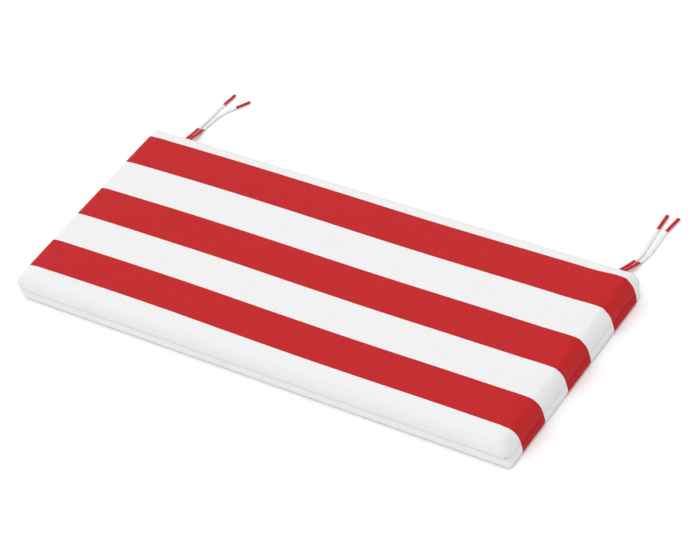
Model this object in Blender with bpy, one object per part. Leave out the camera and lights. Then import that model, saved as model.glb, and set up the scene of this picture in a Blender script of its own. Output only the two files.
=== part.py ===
"""Bench cushion: one filled pad with a seam round its sides, and two pairs of tie tapes.

Metres, +Z up. The origin is on the surface the cushion lies on, under its middle.
+X runs along the bench, +Y points to the bench's back rail, where the tapes tie.
"""
import math

import bmesh
import bpy
from mathutils import Vector
from mathutils.geometry import interpolate_bezier

# ---- Driving dimensions -------------------------------------------------------
LENGTH = 1.1135           # along the bench, over the fullest part of the sides
DEPTH = 0.4575            # front to back, over the fullest part of the sides
REAR_TAPER = 0.0030       # the right end runs in by this much towards the back
SIDE_TOP = 0.0488         # height where the top panel starts to roll over the edge
CROWN = 0.002             # how much higher the middle of the top is
CROWN_END_POWER = 0.5     # under 1, the crown stays full along the bench and falls late
ROLL_WIDTH = 0.018        # roll of the top panel over the edge: across
ROLL_RISE = 0.030         # and up, from the fullest part of the side
ROLL_INSET = 0.0004       # how far inside the pad's largest outline the roll starts
LEAN = 0.0016             # how much the cover pulls the side in above its fullest part
LEAN_POWER = 8.0          # how early that happens
ROLL_STEPS = 8
ROLL_CORNER = 0.014       # plan radius of the corners at the fullest part of the side
ROLL_CORNER_SHRINK = 0.45  # the corners sharpen by this share of the roll's inset
SEAM_HEIGHT = 0.0155      # the seam that joins the top panel to the bottom panel
SEAM_INSET = 0.0045       # how deep that seam is drawn in

CORNER_LIMIT = 0.9        # a corner's radius takes at most this share of half the width
CORNER_STEPS = 6          # faces round each corner
LONG_STEPS = 12           # faces along the front and the back
SHORT_STEPS = 6           # faces along each end

TAPE_WIDTH = 0.007
TAPE_THICK = 0.0015
TAPE_EDGE = 0.0003        # small bevel on the tape's long edges
TAPE_GAP = 0.0003         # to the surface that the tapes lie on
TAPE_STEPS = 4            # faces between two of a tape's route points

CLOTH_RED = (0.53, 0.028, 0.030, 1.0)
CLOTH_WHITE = (0.88, 0.88, 0.87, 1.0)
CLOTH_ROUGHNESS = 0.85

# The side of the pad, bottom to top: one row for each outline that the cover goes through.
# name, inset at the ends, inset at front and back, height, corner radius, band share
SIDE = [
    ("underside", 0.0070, 0.0065, 0.0000, 0.007, 1.0),
    ("foot low",  0.0033, 0.0030, 0.0005, 0.007, 1.0),
    ("foot",      0.0013, 0.0010, 0.0020, 0.008, 1.0),
    ("band low",  0.0000, 0.0002, 0.0045, 0.009, 0.9),
    ("band full", 0.0004, 0.0004, 0.0078, 0.010, 0.7),
    ("band top",  0.0012, 0.0014, 0.0112, 0.011, 0.4),
    ("seam lip",  0.0024, 0.0028, 0.0138, 0.012, 0.2),
    ("seam",      SEAM_INSET, SEAM_INSET, SEAM_HEIGHT, 0.013, 0.0),
    ("panel lip", 0.0026, 0.0032, 0.0170, 0.014, 0.0),
]
# The top: how far inside the fullest outline each ring lies, past the roll.
TOP_INSETS = [0.045, 0.085, 0.135, 0.185, 0.222]

# No two corners were sewn alike.
# corner: way along X, way along Y, what its radius gains in the band and in the panel
CORNERS = [
    ("front right", 1, -1, -0.003,  0.002),
    ("rear right",  1,  1,  0.022,  0.002),
    ("rear left",  -1,  1,  0.008, -0.002),
    ("front left", -1, -1,  0.020,  0.000),
]

# Where each tape lies, seen from above: x and y of its centre line, from the seam to
# its free end. TIE_HEIGHTS has the height of its lower face at the same points.
TIES = {
    "tie_left_a": [(-0.4972, 0.2272), (-0.4978, 0.2330), (-0.4989, 0.2440), (-0.5004, 0.2560),
                   (-0.5023, 0.2690), (-0.5037, 0.2820), (-0.5033, 0.2910), (-0.5008, 0.3150),
                   (-0.4997, 0.3440), (-0.4970, 0.3620), (-0.4931, 0.3932)],
    "tie_left_b": [(-0.4896, 0.2272), (-0.4902, 0.2330), (-0.4913, 0.2440), (-0.4922, 0.2560),
                   (-0.4930, 0.2690), (-0.4936, 0.2820), (-0.4926, 0.2910), (-0.4898, 0.3160),
                   (-0.4807, 0.3423), (-0.4678, 0.3625), (-0.4504, 0.3869)],
    "tie_right_a": [(0.4905, 0.2272), (0.4912, 0.2330), (0.4929, 0.2440), (0.4947, 0.2560),
                    (0.4966, 0.2690), (0.4985, 0.2820), (0.4997, 0.2900), (0.5010, 0.3000),
                    (0.4993, 0.3260), (0.4954, 0.3650), (0.4933, 0.4036)],
    "tie_right_b": [(0.4982, 0.2272), (0.4989, 0.2330), (0.5006, 0.2440), (0.5029, 0.2560),
                    (0.5058, 0.2690), (0.5086, 0.2820), (0.5106, 0.2900), (0.5133, 0.3060),
                    (0.5134, 0.3330), (0.5123, 0.3655), (0.5168, 0.4035)],
}
TIE_HEIGHTS = [SEAM_HEIGHT - TAPE_THICK / 2, 0.0141, 0.0110, 0.0074, 0.0038, 0.0011] + [TAPE_GAP] * 5


def clear_scene():
    """Start from an empty file, whatever it holds."""
    for obj in list(bpy.data.objects):
        bpy.data.objects.remove(obj, do_unlink=True)


def make_collection(name):
    """A collection of this name in the scene."""
    collection = bpy.data.collections.new(name)
    bpy.context.scene.collection.children.link(collection)
    return collection


def make_cloth(name, colour):
    """Woven outdoor canvas, dull and not metallic."""
    material = bpy.data.materials.new(name)
    material.use_nodes = True
    material.diffuse_color = colour
    shader = material.node_tree.nodes["Principled BSDF"]
    shader.inputs["Base Color"].default_value = colour
    shader.inputs["Roughness"].default_value = CLOTH_ROUGHNESS
    shader.inputs["Metallic"].default_value = 0.0
    return material


def crown_height(x, y):
    """Extra height of the top over its rim: a shallow dome that fades to the edges."""
    along = 1 - (2 * x / LENGTH) ** 2
    across = 1 - (2 * y / DEPTH) ** 2
    return CROWN * max(along, 0) ** CROWN_END_POWER * max(across, 0)


def outline_point(corner, radius, half_x, half_y, turn):
    """A point on one round corner: turn runs from 0 to 1 anticlockwise through it."""
    _, way_x, way_y, _, _ = corner
    start = math.atan2(way_y, way_x) - math.radians(45)
    angle = start + math.radians(90) * turn
    return Vector((way_x * (half_x - radius) + radius * math.cos(angle),
                   way_y * (half_y - radius) + radius * math.sin(angle)))


def rounded_outline(inset_x, inset_y, radius, band_share):
    """Points of the pad's outline, anticlockwise from its front right corner."""
    half_x = LENGTH / 2 - inset_x
    half_y = DEPTH / 2 - inset_y
    gains = [band_share * in_band + (1 - band_share) * in_panel
             for _, _, _, in_band, in_panel in CORNERS]
    radii = [min(radius + gain, CORNER_LIMIT * half_y) for gain in gains]
    side_steps = [SHORT_STEPS, LONG_STEPS, SHORT_STEPS, LONG_STEPS]
    points = []
    for index, corner in enumerate(CORNERS):
        after = (index + 1) % len(CORNERS)
        for step in range(CORNER_STEPS + 1):
            turn = step / CORNER_STEPS
            points.append(outline_point(corner, radii[index], half_x, half_y, turn))
        side_start = points[-1]
        side_end = outline_point(CORNERS[after], radii[after], half_x, half_y, 0)
        for step in range(1, side_steps[index]):
            points.append(side_start.lerp(side_end, step / side_steps[index]))
    return points


def taper(point):
    """How far the cover's uneven cut moves a point along X: most at the rear right corner."""
    along = 0.5 + point.x / LENGTH
    across = 0.5 + point.y / DEPTH
    return -REAR_TAPER * along * across


def cushion_sections():
    """Every outline of the pad, from the underside up: two insets, height, radius, share."""
    sections = [row[1:] for row in SIDE]
    for step in range(ROLL_STEPS + 1):
        angle = math.radians(90 * step / ROLL_STEPS)
        lean = LEAN * (1 - (1 - math.sin(angle)) ** LEAN_POWER)
        inset = ROLL_INSET + ROLL_WIDTH * (1 - math.cos(angle)) + lean
        height = SIDE_TOP - ROLL_RISE * (1 - math.sin(angle))
        radius = ROLL_CORNER - ROLL_CORNER_SHRINK * inset
        sections.append((inset, inset, height, radius, 0.0))
    for inset in TOP_INSETS:
        sections.append((inset, inset, SIDE_TOP, radius, 0.0))
    return sections


def close_top(bm, ring):
    """Faces across the innermost outline, from the middle of its right end to its left end."""
    middle = CORNER_STEPS + SHORT_STEPS // 2
    pairs = [(ring[middle - step], ring[(middle + step) % len(ring)])
             for step in range(len(ring) // 2 + 1)]
    for (front, rear), (next_front, next_rear) in zip(pairs, pairs[1:]):
        bm.faces.new(list(dict.fromkeys([front, rear, next_rear, next_front])))


def build_cushion(collection, cloth):
    """One closed skin: the outlines lofted from the flat underside to the crowned top."""
    mesh = bpy.data.meshes.new("cushion")
    bm = bmesh.new()
    rings = []
    for inset_x, inset_y, height, radius, band_share in cushion_sections():
        ring = []
        for point in rounded_outline(inset_x, inset_y, radius, band_share):
            on_top = height > SIDE_TOP - ROLL_RISE
            lift = crown_height(point.x, point.y) if on_top else 0
            ring.append(bm.verts.new((point.x + taper(point), point.y, height + lift)))
        rings.append(ring)
    for lower, upper in zip(rings, rings[1:]):
        for here in range(len(lower)):
            after = (here + 1) % len(lower)
            bm.faces.new((lower[here], lower[after], upper[after], upper[here]))
    bm.faces.new(list(reversed(rings[0])))
    close_top(bm, rings[-1])
    bm.to_mesh(mesh)
    bm.free()
    mesh.shade_smooth()
    mesh.materials.append(cloth)
    cushion = bpy.data.objects.new("cushion", mesh)
    collection.objects.link(cushion)
    return cushion


def make_tape_section(collection):
    """The tape's flat cross-section, a guide for the curves that follow it."""
    section = bpy.data.curves.new("tape_section", "CURVE")
    section.dimensions = "2D"
    spline = section.splines.new("POLY")
    half_w, half_t, edge = TAPE_WIDTH / 2, TAPE_THICK / 2, TAPE_EDGE
    clockwise = [(half_w - edge, -half_t), (edge - half_w, -half_t), (-half_w, edge - half_t),
                 (-half_w, half_t - edge), (edge - half_w, half_t), (half_w - edge, half_t),
                 (half_w, half_t - edge), (half_w, edge - half_t)]
    spline.points.add(len(clockwise) - 1)
    for point, (x, y) in zip(spline.points, clockwise):
        point.co = (x, y, 0, 1)
    spline.use_cyclic_u = True
    guide = bpy.data.objects.new("tape_section", section)
    guide.hide_render = True
    guide.display_type = "WIRE"
    collection.objects.link(guide)
    return guide


def smooth_route(points, steps):
    """A smooth curve through the points, as a list with this many steps between two of them."""
    route = [points[0]]
    for index in range(len(points) - 1):
        start, end = points[index], points[index + 1]
        before = points[index - 1] if index else start
        after = points[index + 2] if index + 2 < len(points) else end
        handle_a = start + (end - before) / 6
        handle_b = end - (after - start) / 6
        route += interpolate_bezier(start, handle_a, handle_b, end, steps + 1)[1:]
    return route


def build_tie(name, route_xy, collection, cloth, section):
    """One tie tape: flat cloth that comes out of the seam, drops and lies on the surface."""
    points = [Vector((x, y, low + TAPE_THICK / 2)) for (x, y), low in zip(route_xy, TIE_HEIGHTS)]
    route = smooth_route(points, TAPE_STEPS)
    curve = bpy.data.curves.new(name, "CURVE")
    curve.dimensions = "3D"
    curve.twist_mode = "Z_UP"
    curve.bevel_mode = "OBJECT"
    curve.bevel_object = section
    curve.use_fill_caps = True
    spline = curve.splines.new("POLY")
    spline.points.add(len(route) - 1)
    for point, place in zip(spline.points, route):
        point.co = (*place, 1)
    curve.materials.append(cloth)
    tie = bpy.data.objects.new(name, curve)
    collection.objects.link(tie)
    return tie


def main():
    clear_scene()
    parts = make_collection("bench_cushion")
    guides = make_collection("guides")
    build_cushion(parts, make_cloth("cushion cloth", CLOTH_WHITE))
    section = make_tape_section(guides)
    for name, route_xy in TIES.items():
        build_tie(name, route_xy, parts, make_cloth(name + " cloth", CLOTH_RED), section)


main()
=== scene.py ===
# %% [markdown]
# # A striped bench cushion with four tie tapes
#
# The real thing is a flat pad for a two-seat bench. A striped canvas panel rolls down over the edges of the filling
# and is sewn to a shallow bottom panel. Two pairs of narrow tapes come out of that seam at the rear corners. This
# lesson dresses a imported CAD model: it keeps every size and place, and adds the fine surface, the sewing and the
# cloth.

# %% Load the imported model
import math

import bmesh
import bpy
import numpy as np
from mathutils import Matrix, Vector, noise
from mathutils.geometry import interpolate_bezier


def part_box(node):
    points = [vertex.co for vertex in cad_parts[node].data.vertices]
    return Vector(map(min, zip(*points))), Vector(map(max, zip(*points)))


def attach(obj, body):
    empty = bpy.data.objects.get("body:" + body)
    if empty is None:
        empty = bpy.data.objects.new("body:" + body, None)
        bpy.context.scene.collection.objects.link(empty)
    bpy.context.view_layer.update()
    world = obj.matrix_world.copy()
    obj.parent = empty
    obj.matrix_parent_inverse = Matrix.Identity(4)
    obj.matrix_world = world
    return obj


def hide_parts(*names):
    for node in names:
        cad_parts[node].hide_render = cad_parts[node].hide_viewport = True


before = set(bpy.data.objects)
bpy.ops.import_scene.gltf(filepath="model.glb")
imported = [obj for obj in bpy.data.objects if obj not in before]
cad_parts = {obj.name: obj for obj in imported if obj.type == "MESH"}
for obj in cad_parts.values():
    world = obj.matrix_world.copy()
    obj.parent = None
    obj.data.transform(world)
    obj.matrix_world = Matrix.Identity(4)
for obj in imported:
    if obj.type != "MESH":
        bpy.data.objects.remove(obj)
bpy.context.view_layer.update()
pad_low, pad_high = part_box("cushion")
LENGTH = 2 * max(-pad_low.x, pad_high.x)
DEPTH = pad_high.y - pad_low.y
print(f"the pad is {LENGTH:.4f} x {DEPTH:.4f} x {pad_high.z:.4f} m")

# %% [markdown]
# ## The camera
#
# The camera stands five metres off with a long lens, as for a catalogue picture, and is rolled a little, so that the
# pad lies across the frame. It is placed first.

# %% Place the camera
CAMERA_AIM = Vector((0.0314, 0.0467, 0.0))
CAMERA_DISTANCE = 5.311
CAMERA_AZIMUTH = math.radians(46.93)
CAMERA_ELEVATION = math.radians(42.0)
CAMERA_ROLL = math.radians(-17.654)
LENS_MM = 150.83
SENSOR_MM = 36.0


def place_camera():
    """A rolled camera that looks at the aim point from its azimuth and elevation."""
    level = math.cos(CAMERA_ELEVATION)
    back = Vector((math.sin(CAMERA_AZIMUTH) * level, -math.cos(CAMERA_AZIMUTH) * level,
                   math.sin(CAMERA_ELEVATION)))
    right = Vector((math.cos(CAMERA_AZIMUTH), math.sin(CAMERA_AZIMUTH), 0))
    up = back.cross(right)
    side = right * math.cos(CAMERA_ROLL) + up * math.sin(CAMERA_ROLL)
    top = up * math.cos(CAMERA_ROLL) - right * math.sin(CAMERA_ROLL)
    camera = bpy.data.objects.new("camera", bpy.data.cameras.new("camera"))
    camera.data.lens = LENS_MM
    camera.data.sensor_width = SENSOR_MM
    bpy.context.scene.collection.objects.link(camera)
    matrix = camera.matrix_world.copy()
    for column, vector in enumerate((side, top, back, CAMERA_AIM + back * CAMERA_DISTANCE)):
        for row in range(3):
            matrix[row][column] = vector[row]
    camera.matrix_world = matrix
    bpy.context.scene.camera = camera
    return camera


camera = place_camera()
print("camera at", [round(x, 3) for x in camera.location])

# %% [markdown]
# ## Arithmetic on shader sockets
#
# A woven cloth is a formula: a height and a colour worked out at each point. Written as a tree of nodes that formula
# is hard to read, so one small class lets Python's own signs add the Math nodes, and one method adds any other node.


# %% Sockets that can be added and multiplied
class Wire:
    """A node's output that takes part in plain arithmetic."""

    def __init__(self, recipe, socket):
        self.recipe = recipe
        self.socket = socket

    def do(self, operation, *values):
        return self.recipe.add("ShaderNodeMath", {"operation": operation}, dict(enumerate(values)))

    def __add__(self, other):
        return self.do("ADD", self, other)

    def __sub__(self, other):
        return self.do("SUBTRACT", self, other)

    def __rsub__(self, other):
        return self.do("SUBTRACT", other, self)

    def __mul__(self, other):
        return self.do("MULTIPLY", self, other)

    def __abs__(self):
        return self.do("ABSOLUTE", self)

    def cos(self):
        return self.do("COSINE", self)

    def sign(self):
        return self.do("SIGN", self)

    def larger(self, other):
        return self.do("MAXIMUM", self, other)

    def step(self, low, high):
        """0 below low, 1 above high and a smooth rise between them."""
        settings = {"interpolation_type": "SMOOTHSTEP"}
        return self.recipe.add("ShaderNodeMapRange", settings, {0: self, 1: low, 2: high})


class Recipe:
    """The nodes of one material or of the sky, and the one method that adds to them."""

    def __init__(self, owner, shader):
        owner.use_nodes = True
        self.owner = owner
        self.tree = owner.node_tree
        self.shader = self.tree.nodes[shader]

    def feed(self, socket, value):
        """Link a wire to a socket, or set the socket to a plain value."""
        if isinstance(value, Wire):
            self.tree.links.new(value.socket, socket)
        else:
            socket.default_value = value

    def add(self, kind, settings=None, sockets=None, output=0):
        """Add a node: its settings first, then what its sockets hold. It returns one output."""
        node = self.tree.nodes.new(kind)
        for name, value in (settings or {}).items():
            setattr(node, name, value)
        for key, value in (sockets or {}).items():
            self.feed(node.inputs[key], value)
        return Wire(self, node.outputs[output])

    def blend(self, share, start, end):
        """A colour between two colours."""
        settings = {"data_type": "RGBA"}
        return self.add("ShaderNodeMix", settings, {0: share, 6: start, 7: end}, output=2)

    def noise(self, vector, scale, detail=2.0):
        """Soft noise around 0.5 at this many bumps a metre."""
        return self.add("ShaderNodeTexNoise", None,
                        {"Vector": vector, "Scale": scale, "Detail": detail})

    def join(self, x, y, z=0.0):
        """A vector from three values."""
        return self.add("ShaderNodeCombineXYZ", None, {0: x, 1: y, 2: z})

    def split(self, vector):
        """The three values of a vector."""
        return [self.add("ShaderNodeSeparateXYZ", None, {0: vector}, output=axis) for axis in range(3)]


def new_finish(name, roughness):
    """A recipe for a material with this roughness."""
    recipe = Recipe(bpy.data.materials.new(name), "Principled BSDF")
    recipe.shader.inputs["Roughness"].default_value = roughness
    return recipe


# %% [markdown]
# ## The canvas
#
# Outdoor canvas is a plain weave of thick dyed yarn. The warp runs along the stripes, so a stripe's edge is as
# straight as one thread. The pattern is laid out on the flat cloth: each piece below carries a map named cut, which
# says in metres where a point lay on the cloth before it was sewn. So the weave follows the roll of the edge.

# %% The weave and its yarn
THREAD_PITCH = 0.00062
THREAD_WANDER = 0.00035
WEAVE_DEPTH = 0.00016
WEAVE_STRENGTH = 0.55
# Bumps a metre: of the threads' wander, and of a streak along and across its thread.
WANDER_SCALE = 45.0
STREAK_ALONG = 18.0
STREAK_ACROSS = 1500.0
CLOTH_ROUGHNESS = 0.86
CLOTH_SHEEN = 0.04
SHEEN_ROUGHNESS = 0.6
CLOTH_SPECULAR = 0.18
RED = (0.505, 0.013, 0.016, 1.0)
DEEP_RED = (0.41, 0.007, 0.010, 1.0)
WHITE = (0.76, 0.76, 0.76, 1.0)
GREY_WHITE = (0.715, 0.715, 0.717, 1.0)


def cloth_place(recipe):
    """Two wires: where a point lies on the flat cloth, with the wander of real threads."""
    cut = recipe.add("ShaderNodeUVMap", {"uv_map": "cut"})
    u, v, _ = recipe.split(cut)
    wander_u = recipe.noise(cut, WANDER_SCALE) - 0.5
    wander_v = recipe.noise(recipe.join(v, u, 3.0), WANDER_SCALE) - 0.5
    return u + wander_u * THREAD_WANDER, v + wander_v * THREAD_WANDER


def plain_weave(u, v):
    """The height of the weave, from 0 between threads to 1 on a crossing's top thread."""
    across = (u * (math.pi / THREAD_PITCH)).cos()
    along = (v * (math.pi / THREAD_PITCH)).cos()
    weft = abs(across) * (across.sign() * along * 0.4 + 0.6)
    warp = abs(along) * (0.6 - along.sign() * across * 0.4)
    return weft.larger(warp)


def yarn_tone(recipe, u, v):
    """How light each thread is: long streaks along the warp and the weft, around 0.5."""
    warp = recipe.noise(recipe.join(u * STREAK_ALONG, v * STREAK_ACROSS), 1.0, 1.0)
    weft = recipe.noise(recipe.join(u * STREAK_ACROSS, v * STREAK_ALONG, 7.0), 1.0, 1.0)
    return (warp + weft) * 0.5


def finish_cloth(recipe, u, v, colour):
    """Set the colour, and raise the threads with a bump."""
    height = plain_weave(u, v)
    recipe.feed(recipe.shader.inputs["Base Color"], colour)
    bump = recipe.add("ShaderNodeBump", None,
                      {"Strength": WEAVE_STRENGTH, "Distance": WEAVE_DEPTH, "Height": height})
    recipe.feed(recipe.shader.inputs["Normal"], bump)
    recipe.shader.inputs["Sheen Weight"].default_value = CLOTH_SHEEN
    recipe.shader.inputs["Sheen Roughness"].default_value = SHEEN_ROUGHNESS
    recipe.shader.inputs["Specular IOR Level"].default_value = CLOTH_SPECULAR
    return recipe.owner


def dyed(recipe, red_share, u, v):
    """The cloth's colour: red or white yarn, each thread a little lighter or darker."""
    tone = yarn_tone(recipe, u, v).step(0.3, 0.7)
    red = recipe.blend(tone, DEEP_RED, RED)
    white = recipe.blend(tone, GREY_WHITE, WHITE)
    return recipe.blend(red_share, white, red)


# %% [markdown]
# ## The stripes of the pad
#
# Three red stripes lie on white cloth, each about three inches wide. Their edges are given by their distance from
# the middle of the pad. An edge isn't a ruled line: it steps from thread to thread.

# %% The striped canvas
STRIPE_EDGES = [(-0.1850, -0.1121), (-0.0373, 0.0390), (0.1175, 0.1964)]
EDGE_SOFTNESS = 0.00022
EDGE_STEP = 0.00018


def striped_canvas(name):
    """Canvas with the red stripes of the pad."""
    recipe = new_finish(name, CLOTH_ROUGHNESS)
    u, v = cloth_place(recipe)
    step = (u * (math.pi / THREAD_PITCH)).cos() * EDGE_STEP
    place = v + step
    red_share = 0.0
    for low, high in STRIPE_EDGES:
        rise = place.step(low - EDGE_SOFTNESS, low + EDGE_SOFTNESS)
        fall = place.step(high - EDGE_SOFTNESS, high + EDGE_SOFTNESS)
        red_share = rise - fall + red_share
    return finish_cloth(recipe, u, v, dyed(recipe, red_share, u, v))


# %% [markdown]
# ## The tie tapes
#
# A tie is a narrow strip of the same canvas, folded lengthwise, with its raw edges inside, and sewn shut along one
# edge. It was cut across the stripes, so it is red at the root, white in the middle and red at the tip. The tapes
# are limp and lie on the surface. Each route is the list of points that the CAD model follows.

# %% Where the tapes lie
TAPE_WIDTH = 0.007
TAPE_THICK = 0.0015
TAPE_GAP = 0.0003
SEAM_HEIGHT = 0.0155
TAPE_ROOT_INSET = 0.0065
TIES = {
    "left_a": [(-0.4972, 0.2272), (-0.4978, 0.2330), (-0.4989, 0.2440), (-0.5004, 0.2560),
               (-0.5023, 0.2690), (-0.5037, 0.2820), (-0.5033, 0.2910), (-0.5008, 0.3150),
               (-0.4997, 0.3440), (-0.4970, 0.3620), (-0.4931, 0.3932)],
    "left_b": [(-0.4896, 0.2272), (-0.4902, 0.2330), (-0.4913, 0.2440), (-0.4922, 0.2560),
               (-0.4930, 0.2690), (-0.4936, 0.2820), (-0.4926, 0.2910), (-0.4898, 0.3160),
               (-0.4807, 0.3423), (-0.4678, 0.3625), (-0.4504, 0.3869)],
    "right_a": [(0.4905, 0.2272), (0.4912, 0.2330), (0.4929, 0.2440), (0.4947, 0.2560),
                (0.4966, 0.2690), (0.4985, 0.2820), (0.4997, 0.2900), (0.5010, 0.3000),
                (0.4993, 0.3260), (0.4954, 0.3650), (0.4933, 0.4036)],
    "right_b": [(0.4982, 0.2272), (0.4989, 0.2330), (0.5006, 0.2440), (0.5029, 0.2560),
                (0.5058, 0.2690), (0.5086, 0.2820), (0.5106, 0.2900), (0.5133, 0.3060),
                (0.5134, 0.3330), (0.5123, 0.3655), (0.5168, 0.4035)],
}
TIE_HEIGHTS = [SEAM_HEIGHT - TAPE_THICK / 2, 0.0141, 0.0110, 0.0074, 0.0038, 0.0011] + [TAPE_GAP] * 5
# How far from the pad's middle, towards the back rail, each tape turns white, then red.
TIE_COLOURS = {"left_a": (0.2843, 0.3607), "left_b": (0.2853, 0.3625),
               "right_a": (0.2802, 0.3650), "right_b": (0.2796, 0.3655)}
ROUTE_STEPS = 6


def tape_route(name):
    """The tape's centre line as a smooth curve through its route points, from inside the seam."""
    points = [Vector((x, y, low + TAPE_THICK / 2)) for (x, y), low in zip(TIES[name], TIE_HEIGHTS)]
    points[0].y -= TAPE_ROOT_INSET
    route = [points[0]]
    for index in range(len(points) - 1):
        start, end = points[index], points[index + 1]
        before = points[index - 1] if index else start
        after = points[index + 2] if index + 2 < len(points) else end
        handle_a = start + (end - before) / 6
        handle_b = end - (after - start) / 6
        route += interpolate_bezier(start, handle_a, handle_b, end, ROUTE_STEPS + 1)[1:]
    return route


def travelled(route):
    """The distance along the route at each of its points."""
    steps = [0.0] + [(b - a).length for a, b in zip(route, route[1:])]
    return np.cumsum(steps)


routes = {name: tape_route(name) for name in TIES}
for name, route in routes.items():
    print(f"tape {name} is {travelled(route)[-1]:.4f} m long")

# %% [markdown]
# ## A node tree that makes a tape
#
# A tape follows a line and its stitches repeat along it, which is what Geometry Nodes do well. The tree sweeps a flat
# section with soft edges along the line, lays a row of stitches near one edge, and stores where each point lies on
# the tape, in metres, for the cloth's pattern.


# %% Build the tape tree
class Tree:
    """A Geometry Nodes tree with named inputs, and one method that adds a node."""

    def __init__(self, name, inputs):
        self.group = bpy.data.node_groups.new(name, "GeometryNodeTree")
        kinds = {"GEOMETRY": "NodeSocketGeometry", "FLOAT": "NodeSocketFloat",
                 "MATERIAL": "NodeSocketMaterial"}
        for title, kind in inputs.items():
            self.group.interface.new_socket(title, in_out="INPUT", socket_type=kinds[kind])
        self.group.interface.new_socket("Geometry", in_out="OUTPUT", socket_type=kinds["GEOMETRY"])
        self.given = self.group.nodes.new("NodeGroupInput").outputs
        self.result = self.group.nodes.new("NodeGroupOutput").inputs[0]

    def add(self, kind, settings=None, sockets=None, output=0):
        """Add a node: its settings first, then the values or links of its sockets."""
        node = self.group.nodes.new(kind)
        for name, value in (settings or {}).items():
            setattr(node, name, value)
        for key, value in (sockets or {}).items():
            if isinstance(value, bpy.types.NodeSocket):
                self.group.links.new(value, node.inputs[key])
            else:
                node.inputs[key].default_value = value
        return node.outputs[output]

    def number(self, operation, *values):
        """A Math node on plain values or sockets."""
        return self.add("ShaderNodeMath", {"operation": operation}, dict(enumerate(values)))

    def vector(self, operation, *values):
        """A Vector Math node on vectors."""
        settings = {"operation": operation}
        return self.add("ShaderNodeVectorMath", settings, dict(enumerate(values)))


STITCH_LENGTH = 0.0022
STITCH_PITCH = 0.0031
STITCH_RADIUS = 0.00016
STITCH_EDGE = 0.0013
STITCH_BOW = 0.0004
STITCH_DIVE = -0.0002
TAPE_STEP = 0.0015
TAPE_ROUND = 0.00055
TAPE_TWIST = 0.07
TWIST_WAVE = 70.0


def stitch_shape(tree, length, radius):
    """One stitch: a short thread that bows up out of the cloth and dives in at both ends."""
    line = tree.add("GeometryNodeCurveQuadraticBezier", None, {"Resolution": 5})
    node = line.node
    half = tree.number("MULTIPLY", length, 0.5)
    back = tree.number("MULTIPLY", length, -0.5)
    node_start = tree.add("ShaderNodeCombineXYZ", None, {0: back, 2: STITCH_DIVE})
    node_end = tree.add("ShaderNodeCombineXYZ", None, {0: half, 2: STITCH_DIVE})
    tree.group.links.new(node_start, node.inputs["Start"])
    tree.group.links.new(node_end, node.inputs["End"])
    node.inputs["Middle"].default_value = (0.0, 0.0, STITCH_BOW)
    ring = tree.add("GeometryNodeCurvePrimitiveCircle", None, {"Resolution": 5, "Radius": radius})
    return tree.add("GeometryNodeCurveToMesh", None,
                    {"Curve": line, "Profile Curve": ring, "Fill Caps": True})


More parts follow.
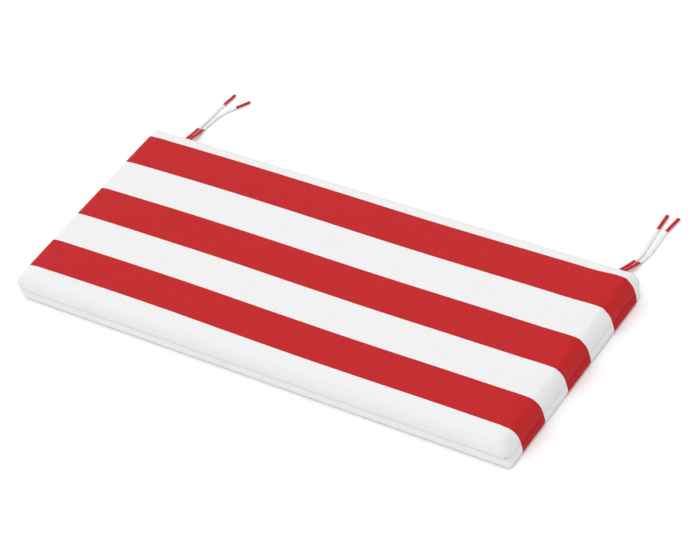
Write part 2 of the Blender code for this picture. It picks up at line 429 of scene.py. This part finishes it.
def build_tape_tree():
    """The tree: a line goes in, and a sewn tape in metres comes out."""
    tree = Tree("sewn tape", {
        "Geometry": "GEOMETRY", "Width": "FLOAT", "Thickness": "FLOAT", "Edge radius": "FLOAT",
        "Stitch pitch": "FLOAT", "Stitch length": "FLOAT", "Cloth": "MATERIAL", "Thread": "MATERIAL"})
    given = tree.given
    line = tree.add("GeometryNodeResampleCurve", {"mode": "LENGTH"},
                    {"Curve": given["Geometry"], "Length": TAPE_STEP})
    line = tree.add("GeometryNodeSetCurveNormal", {"mode": "Z_UP"}, {"Curve": line})
    along = tree.add("GeometryNodeSplineParameter", None, None, output=1)
    wave = tree.number("SINE", tree.number("MULTIPLY", along, TWIST_WAVE))
    tilt = tree.number("MULTIPLY", wave, TAPE_TWIST)
    line = tree.add("GeometryNodeSetCurveTilt", None, {"Curve": line, "Tilt": tilt})
    saved = tree.add("GeometryNodeCaptureAttribute", None, {"Geometry": line})
    saved.node.capture_items.new("FLOAT", "Along")
    tree.group.links.new(along, saved.node.inputs["Along"])

    section = tree.add("GeometryNodeCurvePrimitiveQuadrilateral", {"mode": "RECTANGLE"},
                       {"Width": given["Width"], "Height": given["Thickness"]})
    section = tree.add("GeometryNodeFilletCurve", {"mode": "POLY"},
                       {"Curve": section, "Count": 3, "Radius": given["Edge radius"]})
    place = tree.add("GeometryNodeInputPosition")
    side = tree.add("GeometryNodeCaptureAttribute", None, {"Geometry": section})
    side.node.capture_items.new("VECTOR", "Place")
    tree.group.links.new(place, side.node.inputs["Place"])
    body = tree.add("GeometryNodeCurveToMesh", None,
                    {"Curve": saved, "Profile Curve": side, "Fill Caps": True})
    across = tree.add("ShaderNodeSeparateXYZ", None, {0: side.node.outputs["Place"]})
    cut = tree.add("ShaderNodeCombineXYZ", None, {0: saved.node.outputs["Along"], 1: across})
    body = tree.add("GeometryNodeStoreNamedAttribute", {"data_type": "FLOAT2", "domain": "CORNER"},
                    {"Geometry": body, "Name": "cut", "Value": cut})
    body = tree.add("GeometryNodeSetMaterial", None, {"Geometry": body, "Material": given["Cloth"]})

    inset = tree.number("SUBTRACT", STITCH_EDGE, tree.number("MULTIPLY", given["Width"], 0.5))
    lift = tree.number("MULTIPLY", given["Thickness"], 0.5)
    tangent = tree.add("GeometryNodeInputTangent")
    sideways = tree.add("GeometryNodeInputNormal")
    upwards = tree.vector("CROSS_PRODUCT", sideways, tangent)
    offset = tree.vector("SCALE", sideways)
    tree.group.links.new(inset, offset.node.inputs["Scale"])
    rise = tree.vector("SCALE", upwards)
    tree.group.links.new(lift, rise.node.inputs["Scale"])
    row = tree.add("GeometryNodeSetPosition", None,
                   {"Geometry": saved, "Offset": tree.vector("ADD", offset, rise)})
    row = tree.add("GeometryNodeResampleCurve", {"mode": "LENGTH"},
                   {"Curve": row, "Length": given["Stitch pitch"]})
    turn = tree.add("FunctionNodeAxesToRotation", {"primary_axis": "X", "secondary_axis": "Z"},
                    {0: tangent, 1: upwards})
    stitch = stitch_shape(tree, given["Stitch length"], STITCH_RADIUS)
    row = tree.add("GeometryNodeInstanceOnPoints", None,
                   {"Points": row, "Instance": stitch, "Rotation": turn})
    row = tree.add("GeometryNodeRealizeInstances", None, {"Geometry": row})
    row = tree.add("GeometryNodeSetMaterial", None, {"Geometry": row, "Material": given["Thread"]})
    joined = tree.add("GeometryNodeJoinGeometry", None, {"Geometry": body})
    tree.group.links.new(row, joined.node.inputs["Geometry"])
    joined = tree.add("GeometryNodeRealizeInstances", None, {"Geometry": joined})
    tree.group.links.new(joined, tree.result)
    return tree.group


tape_tree = build_tape_tree()
print("the tape tree has", len(tape_tree.nodes), "nodes")


# %% Cloth for the tapes, and their thread
def tape_canvas(name, white_from, red_from):
    """Canvas of one tape: red, then white, then red again along its length."""
    recipe = new_finish(name, CLOTH_ROUGHNESS)
    u, v = cloth_place(recipe)
    step = (v * (math.pi / THREAD_PITCH)).cos() * EDGE_STEP
    place = u + step
    to_white = place.step(white_from - EDGE_SOFTNESS, white_from + EDGE_SOFTNESS)
    to_red = place.step(red_from - EDGE_SOFTNESS, red_from + EDGE_SOFTNESS)
    red_share = 1.0 - to_white + to_red
    return finish_cloth(recipe, u, v, dyed(recipe, red_share, u, v))


THREAD_ROUGHNESS = 0.55
THREAD_GRAIN = 900.0
THREAD_DARK = (0.66, 0.66, 0.67, 1.0)
THREAD_LIGHT = (0.80, 0.80, 0.80, 1.0)


def sewing_thread():
    """White twisted polyester thread, smoother than the yarn."""
    recipe = new_finish("sewing thread", THREAD_ROUGHNESS)
    place = recipe.add("ShaderNodeTexCoord", output=3)
    tone = recipe.noise(place, THREAD_GRAIN)
    colour = recipe.blend(tone, THREAD_DARK, THREAD_LIGHT)
    recipe.feed(recipe.shader.inputs["Base Color"], colour)
    return recipe.owner


thread = sewing_thread()


# %% Make the four tapes
def set_inputs(modifier, values):
    """Set a modifier's inputs by the identifiers of the tree's named sockets."""
    for item in modifier.node_group.interface.items_tree:
        if item.in_out == "INPUT" and item.name in values:
            modifier[item.identifier] = values[item.name]


def plain_mesh(obj, name):
    """A new object whose mesh is what the first one's modifiers make. The first one goes."""
    depsgraph = bpy.context.evaluated_depsgraph_get()
    mesh = bpy.data.meshes.new_from_object(obj.evaluated_get(depsgraph))
    mesh.name = name
    made = bpy.data.objects.new(name, mesh)
    bpy.context.scene.collection.objects.link(made)
    bpy.data.objects.remove(obj)
    return made


def make_tape(name, route):
    """One tape as a mesh, on the root body."""
    curve = bpy.data.curves.new(name + " line", "CURVE")
    curve.dimensions = "3D"
    spline = curve.splines.new("POLY")
    spline.points.add(len(route) - 1)
    for point, place in zip(spline.points, route):
        point.co = (*place, 1)
    line = bpy.data.objects.new(name + " line", curve)
    bpy.context.scene.collection.objects.link(line)
    distance = travelled(route)
    turns = [float(np.interp(y, [p.y for p in route], distance)) for y in TIE_COLOURS[name]]
    modifier = line.modifiers.new("tape", "NODES")
    modifier.node_group = tape_tree
    set_inputs(modifier, {
        "Width": TAPE_WIDTH, "Thickness": TAPE_THICK, "Edge radius": TAPE_ROUND,
        "Stitch pitch": STITCH_PITCH, "Stitch length": STITCH_LENGTH,
        "Cloth": tape_canvas("tape canvas " + name, *turns), "Thread": thread})
    tape = plain_mesh(line, "tape_" + name)
    tape.data.shade_smooth()
    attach(tape, "root")
    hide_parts("tie_" + name)
    return tape


tapes = [make_tape(name, route) for name, route in routes.items()]
print("tapes:", [(tape.name, len(tape.data.polygons)) for tape in tapes])

# %% [markdown]
# ## The pad's skin
#
# The pad is one closed skin. Its shape follows a rule, the same as the solid's: outlines with round corners, stacked
# from the flat underside to the crowned top. Here the outlines are closer together, the seam is finer, and every
# point also gets its place on the flat cloth.

# %% The rule of the pad's shape
SIDE_TOP = 0.0488
CROWN = 0.002
CROWN_END_POWER = 0.5
REAR_TAPER = 0.0030
ROLL_WIDTH = 0.018
ROLL_RISE = 0.030
ROLL_INSET = 0.0006
LEAN = 0.0014
LEAN_RISE = (0.55, 0.90)
ROLL_STEPS = 14
ROLL_CORNER = 0.014
ROLL_CORNER_SHRINK = 0.45
CORNER_LIMIT = 0.9
CORNER_STEPS = 14
LONG_STEPS = 136
SHORT_STEPS = 56
# How far the wall draws in towards the seam at the ends, and at the front and back.
DRAW = (0.0021, 0.0034)
DRAW_REACH = 0.010
# The side below the roll: inset at the ends, inset at front and back, height, corner radius,
# and how much of the corner's radius is the band's and not the panel's.
SIDE = [
    (0.0065, 0.0085, 0.0000, 0.0060, 1.0),
    (0.0032, 0.0050, 0.0002, 0.0066, 1.0),
    (0.0010, 0.0028, 0.0007, 0.0074, 1.0),
    (-0.0007, 0.0012, 0.0016, 0.0082, 1.0),
    (-0.0014, 0.0004, 0.0030, 0.0090, 1.0),
    (-0.0015, 0.0002, 0.0050, 0.0098, 0.90),
    (-0.0010, 0.0007, 0.0074, 0.0106, 0.72),
    (-0.0001, 0.0016, 0.0099, 0.0116, 0.50),
    (0.0011, 0.0031, 0.0122, 0.0122, 0.30),
    (0.0021, 0.0043, 0.0138, 0.0128, 0.18),
    (0.0027, 0.0050, 0.0148, 0.0134, 0.10),
    (0.0032, 0.0055, 0.0152, 0.0138, 0.05),
    (0.0046, 0.0069, 0.0155, 0.0140, 0.02),
    (0.0034, 0.0057, 0.0158, 0.0140, 0.00),
    (0.0030, 0.0052, 0.0164, 0.0140, 0.00),
    (0.0028, 0.0046, 0.0174, 0.0140, 0.00),
]
SEAM_ROW = 12
TOP_INSETS = [0.024, 0.030, 0.038, 0.048, 0.060, 0.074, 0.090, 0.107, 0.125, 0.144, 0.164, 0.184,
              0.203, 0.218]
UNDER_INSETS = [0.215, 0.17, 0.12, 0.08, 0.05, 0.03, 0.015]
# way along X, way along Y, what the corner's radius gains in the band and in the panel
CORNERS = [(1, -1, -0.003, 0.002), (1, 1, 0.030, 0.002), (-1, 1, 0.008, -0.002),
           (-1, -1, 0.020, 0.000)]


def outline_point(corner, radius, half_x, half_y, turn):
    """A point on a round corner and the way it faces; turn runs from 0 to 1 through it."""
    way_x, way_y = corner[:2]
    angle = math.atan2(way_y, way_x) + math.radians(90) * (turn - 0.5)
    facing = Vector((math.cos(angle), math.sin(angle)))
    centre = Vector((way_x * (half_x - radius), way_y * (half_y - radius)))
    return centre + radius * facing, facing


def outline(inset_x, inset_y, radius, band_share):
    """The pad's outline at one level, anticlockwise: places and facings."""
    half_x = LENGTH / 2 - inset_x
    half_y = DEPTH / 2 - inset_y
    gains = [band_share * band + (1 - band_share) * panel for _, _, band, panel in CORNERS]
    radii = [min(radius + gain, CORNER_LIMIT * half_y) for gain in gains]
    points = []
    for index, corner in enumerate(CORNERS):
        after = (index + 1) % len(CORNERS)
        for step in range(CORNER_STEPS + 1):
            turn = step / CORNER_STEPS
            points.append(outline_point(corner, radii[index], half_x, half_y, turn))
        start, facing = points[-1]
        end = outline_point(CORNERS[after], radii[after], half_x, half_y, 0)[0]
        steps = LONG_STEPS if index % 2 else SHORT_STEPS
        points += [(start.lerp(end, step / steps), facing) for step in range(1, steps)]
    return points


def ease(value, low, high):
    """0 below low, 1 above high and a smooth rise between them."""
    share = min(max((value - low) / (high - low), 0), 1)
    return share * share * (3 - 2 * share)


def crown_height(x, y):
    """Extra height of the top over its rim."""
    along = max(1 - (2 * x / LENGTH) ** 2, 0)
    across = max(1 - (2 * y / DEPTH) ** 2, 0)
    return CROWN * along ** CROWN_END_POWER * across


def pad_levels():
    """Every outline from the underside's middle to the top's: insets, height, radius, share."""
    under = [(inset, inset, 0.0, SIDE[0][3], 1.0) for inset in UNDER_INSETS]
    roll = []
    for step in range(ROLL_STEPS + 1):
        angle = math.radians(90 * step / ROLL_STEPS)
        lean = LEAN * ease(math.sin(angle), *LEAN_RISE)
        inset = ROLL_INSET + ROLL_WIDTH * (1 - math.cos(angle)) + lean
        height = SIDE_TOP - ROLL_RISE * (1 - math.sin(angle))
        drawn = 1 - ease(height, SEAM_HEIGHT, SEAM_HEIGHT + DRAW_REACH)
        radius = ROLL_CORNER - ROLL_CORNER_SHRINK * inset
        roll.append((inset + DRAW[0] * drawn, inset + DRAW[1] * drawn, height, radius, 0.0))
    top = [(inset, inset, SIDE_TOP, roll[-1][3], 0.0) for inset in TOP_INSETS]
    return under + SIDE + roll + top


levels = pad_levels()
print("the pad has", len(levels), "outlines of", len(outline(0, 0, ROLL_CORNER, 0)), "points")


# %% [markdown]
# Sewing pulls cloth about. On the real pad the stripes wander by a millimetre, run towards the back where they reach
# the right end, and lean towards the front below the seam there. So the map is shifted by the same small amounts,
# and the weave follows.

# %% How sewing pulled the cloth
WANDER = 0.0012
WANDER_LENGTH = 0.76
WANDER_CREST = -0.25
RIGHT_PULL = (0.0016, 0.005)
RIGHT_PULL_ENDS = (0.46, 0.54)
# At the right end: the lean of the stripes in the band, as a start and a slope, and in the panel at the seam, and
# the insets over which the band's lean fades on the underside.
BAND_LEAN = (-0.0008, 0.50)
PANEL_LEAN = -0.0012
LEAN_UNDER = (0.007, 0.170)
WALL_PULL = (0.0008, 0.0072)
WALL_PULL_ENDS = (0.537, 0.552)
LEFT_PULL = 0.0018
LEFT_PULL_ENDS = (0.44, 0.55)


def pulled(spot):
    """Where the cloth at this spot lay before it was pulled."""
    x, y = spot
    shift = WANDER * math.cos(2 * math.pi * (x - WANDER_CREST) / WANDER_LENGTH)
    shift += (RIGHT_PULL[0] + RIGHT_PULL[1] * y) * ease(x, *RIGHT_PULL_ENDS)
    shift -= (WALL_PULL[0] + WALL_PULL[1] * y) * ease(x, *WALL_PULL_ENDS)
    shift -= LEFT_PULL * ease(-x, *LEFT_PULL_ENDS) * ease(y, 0.05, 0.2)
    return Vector((x, y - shift))


# %% Loft the skin, with its map of the flat cloth
def cloth_travel(levels, flat):
    """How far the cloth has run outwards at each level, along the skin, from one flat level."""
    travel = [0.0] * len(levels)
    for way in (1, -1):
        index = flat
        while 0 <= index + way < len(levels):
            here, there = levels[index], levels[index + way]
            travel[index + way] = travel[index] + math.dist((here[0], here[2]), (there[0], there[2]))
            index += way
    return travel


def close_cap(bm, ring, facing_up):
    """Faces across an innermost outline, from the middle of its right end to its left end."""
    middle = CORNER_STEPS + SHORT_STEPS // 2
    pairs = [(ring[middle - step], ring[(middle + step) % len(ring)])
             for step in range(len(ring) // 2 + 1)]
    for (front, rear), (next_front, next_rear) in zip(pairs, pairs[1:]):
        corners = list(dict.fromkeys([front, rear, next_rear, next_front]))
        bm.faces.new(corners if facing_up else corners[::-1])


def loft_pad():
    """The coarse skin. Its face corners carry the map named cut."""
    bm = bmesh.new()
    under_edge = len(UNDER_INSETS)
    roll_edge = len(levels) - len(TOP_INSETS) - 1
    roll_inset = levels[roll_edge][0]
    seam = under_edge + SEAM_ROW
    up_travel = cloth_travel(levels, under_edge)
    down_travel = cloth_travel(levels, roll_edge)
    rings, maps = [], []
    for index, (inset_x, inset_y, height, radius, share) in enumerate(levels):
        ring, both = [], []
        for place, facing in outline(inset_x, inset_y, radius, share):
            taper = -REAR_TAPER * (0.5 + place.x / LENGTH) * (0.5 + place.y / DEPTH)
            lift = crown_height(place.x, place.y) if height > SIDE_TOP - ROLL_RISE else 0
            ring.append(bm.verts.new((place.x + taper, place.y, height + lift)))
            up = max(up_travel[index] - (SIDE[0][0] - inset_x), 0) if index > under_edge else 0
            down = max(down_travel[index] - (roll_inset - inset_x), 0) if index < roll_edge else 0
            near_seam = 1 - ease(height, SEAM_HEIGHT, SEAM_HEIGHT + DRAW_REACH)
            band_lean = BAND_LEAN[0] + BAND_LEAN[1] * (SEAM_HEIGHT - height)
            to_right = max(facing.x, 0) * (1 - ease(inset_x, *LEAN_UNDER))
            in_band = Vector((0, band_lean * to_right))
            in_panel = Vector((0, PANEL_LEAN * near_seam * to_right))
            both.append((pulled(place + facing * up) + in_band,
                         pulled(place + facing * down) + in_panel))
        rings.append(ring)
        maps.append(both)
    place_on_cloth = {}
    for index, (lower, upper) in enumerate(zip(rings, rings[1:])):
        side = 0 if index < seam else 1
        for here in range(len(lower)):
            after = (here + 1) % len(lower)
            face = bm.faces.new((lower[here], lower[after], upper[after], upper[here]))
            place_on_cloth[face] = [maps[index][here][side], maps[index][after][side],
                                    maps[index + 1][after][side], maps[index + 1][here][side]]
    close_cap(bm, rings[0], False)
    close_cap(bm, rings[-1], True)
    cut = bm.loops.layers.uv.new("cut")
    for face in bm.faces:
        spots = place_on_cloth.get(face, [pulled(loop.vert.co.xy) for loop in face.loops])
        for loop, spot in zip(face.loops, spots):
            loop[cut].uv = spot
    mesh = bpy.data.meshes.new("pad")
    bm.to_mesh(mesh)
    bm.free()
    pad = bpy.data.objects.new("pad", mesh)
    bpy.context.scene.collection.objects.link(pad)
    return pad


pad = loft_pad()
print("coarse skin:", len(pad.data.polygons), "faces")

# %% [markdown]
# ## Filling the pad
#
# Cloth is stretched over the filling and held by the seam. A short cloth simulation with air pressure inside gives
# the fine unevenness that this makes. The seam and the underside are pinned, the pad starts a little slack, and no
# point may move further than a cap, so the size stays true.

# %% Fill it
FILL_FRAMES = 16
FILL_PRESSURE = 4.0
FILL_CAP = 0.0012
FILL_START = 0.0006
# Distances over which the pins let go: from the seam, and from the underside.
FREE_FROM_SEAM = (0.0008, 0.0050)
FREE_FROM_FLOOR = (0.001, 0.004)


def coordinates(mesh):
    """A mesh's points as an array."""
    points = np.zeros(len(mesh.vertices) * 3, np.float32)
    mesh.vertices.foreach_get("co", points)
    return points.reshape(-1, 3).astype(float)


def place_points(mesh, points):
    """Write an array back into a mesh."""
    mesh.vertices.foreach_set("co", points.astype(np.float32).ravel())
    mesh.update()


def facings(mesh):
    """A mesh's point normals as an array."""
    normals = np.zeros(len(mesh.vertices) * 3, np.float32)
    mesh.vertex_normals.foreach_get("vector", normals)
    return normals.reshape(-1, 3).astype(float)


def soft_step(values, low, high):
    """0 below low, 1 above high and a smooth rise between them."""
    share = np.clip((values - low) / (high - low), 0, 1)
    return share * share * (3 - 2 * share)


def fill(pad):
    """Swell the skin between its pins and keep the movement under the cap."""
    mesh = pad.data
    start = coordinates(mesh)
    height = start[:, 2]
    free = soft_step(np.abs(height - SEAM_HEIGHT), *FREE_FROM_SEAM)
    free *= soft_step(height, *FREE_FROM_FLOOR)
    slack = start - facings(mesh) * (FILL_START * free)[:, None]
    place_points(mesh, slack)
    pins = pad.vertex_groups.new(name="pins")
    for index, share in enumerate(free):
        pins.add([index], 1 - float(share), "REPLACE")
    cloth = pad.modifiers.new("filling", "CLOTH")
    cloth.settings.vertex_group_mass = "pins"
    cloth.settings.use_pressure = True
    cloth.settings.uniform_pressure_force = FILL_PRESSURE
    cloth.settings.effector_weights.gravity = 0
    cloth.settings.tension_stiffness = 40
    cloth.settings.compression_stiffness = 40
    cloth.settings.shear_stiffness = 20
    cloth.settings.bending_stiffness = 2
    cloth.settings.quality = 4
    cloth.point_cache.frame_end = FILL_FRAMES
    for moment in range(1, FILL_FRAMES + 1):
        bpy.context.scene.frame_set(moment)
    depsgraph = bpy.context.evaluated_depsgraph_get()
    swollen = coordinates(pad.evaluated_get(depsgraph).data)
    pad.modifiers.remove(cloth)
    bpy.context.scene.frame_set(1)
    moved = swollen - slack
    distance = np.linalg.norm(moved, axis=1)
    kept = FILL_CAP * np.tanh(distance / FILL_CAP) / np.maximum(distance, 1e-9)
    place_points(mesh, slack + moved * kept[:, None])
    pad.vertex_groups.clear()
    print(f"the filling moved the skin by up to {distance.max() * 1000:.2f} mm before the cap")


fill(pad)

# %% [markdown]
# ## A finer skin, and the marks of sewing
#
# One subdivision rounds the skin off. Then come the marks that sewing leaves: small puckers above and below the
# seam, a short dart at each corner, and the slow unevenness of a hand-filled top.


# %% Subdivide
def refine(pad):
    """One level of subdivision, turned into a plain mesh."""
    modifier = pad.modifiers.new("finer", "SUBSURF")
    modifier.levels = 1
    modifier.render_levels = 1
    modifier.uv_smooth = "NONE"
    return plain_mesh(pad, "pad_skin")


pad = refine(pad)
print("fine skin:", len(pad.data.polygons), "faces")

# %% Puckers, darts and unevenness
PUCKER_DEPTH = 0.00045
PUCKER_PITCH = 0.011
PUCKER_REACH = 0.009
BAND_DEPTH = 0.0002
# Heights over which the marks start and end, and over which the top's unevenness starts.
MARKS_START = (0.001, 0.004)
MARKS_END = (0.030, 0.042)
TOP_START = (0.030, 0.044)
TOP_UNEVEN = 0.0008
TOP_WAVE = 0.21
DART_LENGTH = 0.016
DART_DEPTH = 0.0011
DART_WIDTH = 0.0011
# Where each dart leaves the seam: the way it faces, in degrees from +X, and its corner in CORNERS.
DARTS = [(-52.0, 0), (52.0, 1), (128.0, 2), (-128.0, 3)]


def noise_at(points, wave, seed):
    """Smooth noise at each point, between about -1 and 1, for one wave length per axis."""
    offset = Vector((seed * 7.3, seed * 3.1, seed * 5.7))
    scale = 1 / np.array(wave)
    return np.array([noise.noise(Vector(point) + offset) for point in points * scale])


def corner_bearing(points, corner):
    """For each point, its angle round one corner's centre, in degrees, and its distance."""
    way_x, way_y = CORNERS[corner][:2]
    radius = ROLL_CORNER + CORNERS[corner][3]
    centre = np.array((way_x * (LENGTH / 2 - radius), way_y * (DEPTH / 2 - radius)))
    away = points[:, :2] - centre
    return np.degrees(np.arctan2(away[:, 1], away[:, 0])), np.linalg.norm(away, axis=1)


def sewing_marks(mesh):
    """Move the skin along its own facing: in at the darts and puckers, and in slow waves."""
    points = coordinates(mesh)
    normals = facings(mesh)
    height = points[:, 2]
    move = np.zeros(len(points))
    above = soft_step(height, SEAM_HEIGHT, SEAM_HEIGHT + 0.002)
    fading = np.exp(-np.abs(height - SEAM_HEIGHT) / PUCKER_REACH)
    on_side = soft_step(height, *MARKS_START) * (1 - soft_step(height, *MARKS_END))
    puckers = noise_at(points, (PUCKER_PITCH, PUCKER_PITCH, 4 * PUCKER_PITCH), 1)
    move += PUCKER_DEPTH * puckers * fading * on_side * above
    ripples = noise_at(points, (0.8 * PUCKER_PITCH, 0.8 * PUCKER_PITCH, PUCKER_PITCH), 2)
    move += BAND_DEPTH * ripples * on_side * (1 - above)
    top = soft_step(height, *TOP_START)
    move += TOP_UNEVEN * noise_at(points, (TOP_WAVE, TOP_WAVE * 0.6, 1.0), 3) * top
    for bearing, corner in DARTS:
        angle, distance = corner_bearing(points, corner)
        aside = np.radians(angle - bearing) * distance
        near = (distance < 0.06) & (np.abs(aside) < 0.02)
        rising = (height - SEAM_HEIGHT) / DART_LENGTH
        strength = np.clip(1 - rising, 0, 1) ** 0.7 * (rising > -0.02)
        groove = np.exp(-(aside / DART_WIDTH) ** 2)
        move -= DART_DEPTH * groove * strength * near
    place_points(mesh, points + normals * move[:, None])


sewing_marks(pad.data)
pad.data.shade_smooth()
pad.data.materials.clear()
pad.data.materials.append(striped_canvas("striped canvas"))
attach(pad, "root")
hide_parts("cushion")

# %% [markdown]
# ## Floor and light
#
# A plain white floor under a sky of soft white light, as inside a photographer's tent. The sky is brighter above, so
# the top is the brightest side, and dimmer to the right, so the right end is the darkest.

# %% Set the stage
FLOOR_SIZE = 14.0
FLOOR_DROP = 0.002
FLOOR_WHITE = (0.93, 0.93, 0.93, 1.0)
FLOOR_ROUGHNESS = 0.9
# How bright the sky is all round, and what it gains towards the right, the back and the top.
SKY_LEVEL = 0.70
SKY_GAIN = (-0.25, -0.10, 0.78)


def make_floor():
    """A large white plane just under the pad."""
    mesh = bpy.data.meshes.new("floor")
    half = FLOOR_SIZE / 2
    corners = [(-half, -half), (half, -half), (half, half), (-half, half)]
    mesh.from_pydata([(x, y, -FLOOR_DROP) for x, y in corners], [], [(0, 1, 2, 3)])
    recipe = new_finish("studio floor", FLOOR_ROUGHNESS)
    recipe.shader.inputs["Base Color"].default_value = FLOOR_WHITE
    recipe.shader.inputs["Specular IOR Level"].default_value = 0.0
    mesh.materials.append(recipe.owner)
    floor = bpy.data.objects.new("floor", mesh)
    bpy.context.scene.collection.objects.link(floor)


def make_light():
    """A sky of soft white light, brighter above and dimmer to the right and the back."""
    world = bpy.data.worlds.new("studio")
    recipe = Recipe(world, "Background")
    direction = recipe.add("ShaderNodeTexCoord")
    level = SKY_LEVEL
    for axis, gain in zip(recipe.split(direction), SKY_GAIN):
        level = axis * gain + level
    recipe.feed(recipe.shader.inputs["Strength"], level)
    recipe.shader.inputs["Color"].default_value = (1.0, 1.0, 1.0, 1.0)
    bpy.context.scene.world = world


make_floor()
make_light()
bpy.context.scene.view_settings.view_transform = "Standard"
